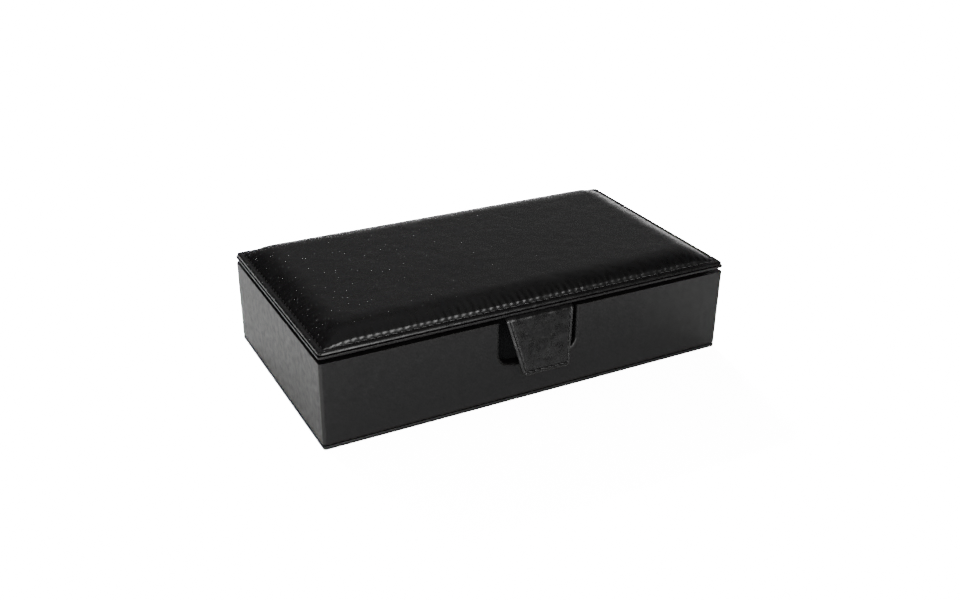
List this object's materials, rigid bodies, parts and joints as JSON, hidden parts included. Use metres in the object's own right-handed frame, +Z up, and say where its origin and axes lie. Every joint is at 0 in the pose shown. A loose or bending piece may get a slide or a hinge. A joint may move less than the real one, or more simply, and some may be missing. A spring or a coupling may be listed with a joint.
{
  "type": "poker chip case",
  "caption": "Leather-covered box with a hinged, padded and stitched lid, a front pull tab over a finger notch, half-round chip channels and wells for card decks.",
  "frame": {"origin": "centre of the base's underside, on the surface that the case rests on", "axes": "+X to the right along the case's front as seen from in front, +Y from the front to the hinges at the back, +Z up"},
  "size_m": [0.3, 0.1824, 0.0747],
  "materials": {
    "wall_leather": "smooth black leather, semi-gloss, fine grain",
    "panel_leather": "smooth black padded leather, semi-gloss, lightly creased",
    "tab_leather": "black leather, semi-gloss, pebbled by creases",
    "suede": "black suede-like pile, matt",
    "fibreboard": "raw fibreboard, matt",
    "foam": "open-cell foam, matt",
    "hinge_brass": "polished brass plate",
    "steel": "plain steel"
  },
  "bodies": {
    "case": {"base_leather": "wall_leather", "base_board": "fibreboard", "front_wall_board": "fibreboard", "back_wall_board": "fibreboard", "left_wall_board": "fibreboard", "right_wall_board": "fibreboard", "body_leather": "wall_leather", "notch_binding": "wall_leather", "front_lining": "suede", "back_lining": "suede", "left_lining": "suede", "right_lining": "suede", "floor_lining": "suede", "left_chip_rack": "suede", "right_chip_rack": "suede", "card_tray": "suede", "left_hinge_body_leaf": "hinge_brass", "left_hinge_pin": "steel", "left_hinge_body_screw_1": "steel", "left_hinge_body_screw_2": "steel", "right_hinge_body_leaf": "hinge_brass", "right_hinge_pin": "steel", "right_hinge_body_screw_1": "steel", "right_hinge_body_screw_2": "steel"},
    "lid": {"lid_board_leather": "wall_leather", "lid_board": "fibreboard", "lid_lining": "suede", "panel_leather": "panel_leather", "panel_board": "fibreboard", "panel_foam": "foam", "tab_strap_end": "tab_leather", "left_hinge_lid_leaf": "hinge_brass", "left_hinge_lid_screw_1": "steel", "left_hinge_lid_screw_2": "steel", "right_hinge_lid_leaf": "hinge_brass", "right_hinge_lid_screw_1": "steel", "right_hinge_lid_screw_2": "steel"},
    "tab": {"tab_front_leather": "tab_leather", "tab_back_leather": "tab_leather", "tab_stiffener": "fibreboard"}
  },
  "joints": [
    {"name": "lid_hinge", "type": "hinge", "parent": "case", "child": "lid", "pos_m": [0, 0.0847, 0.0615], "axis": [-1, 0, 0], "range_deg": [0, 110]},
    {"name": "tab_fold", "type": "hinge", "parent": "lid", "child": "tab", "pos_m": [0, -0.0833, 0.0615], "axis": [-1, 0, 0], "range_deg": [-13, 70], "stiffness_Nm_per_rad": 0.02}
  ]
}
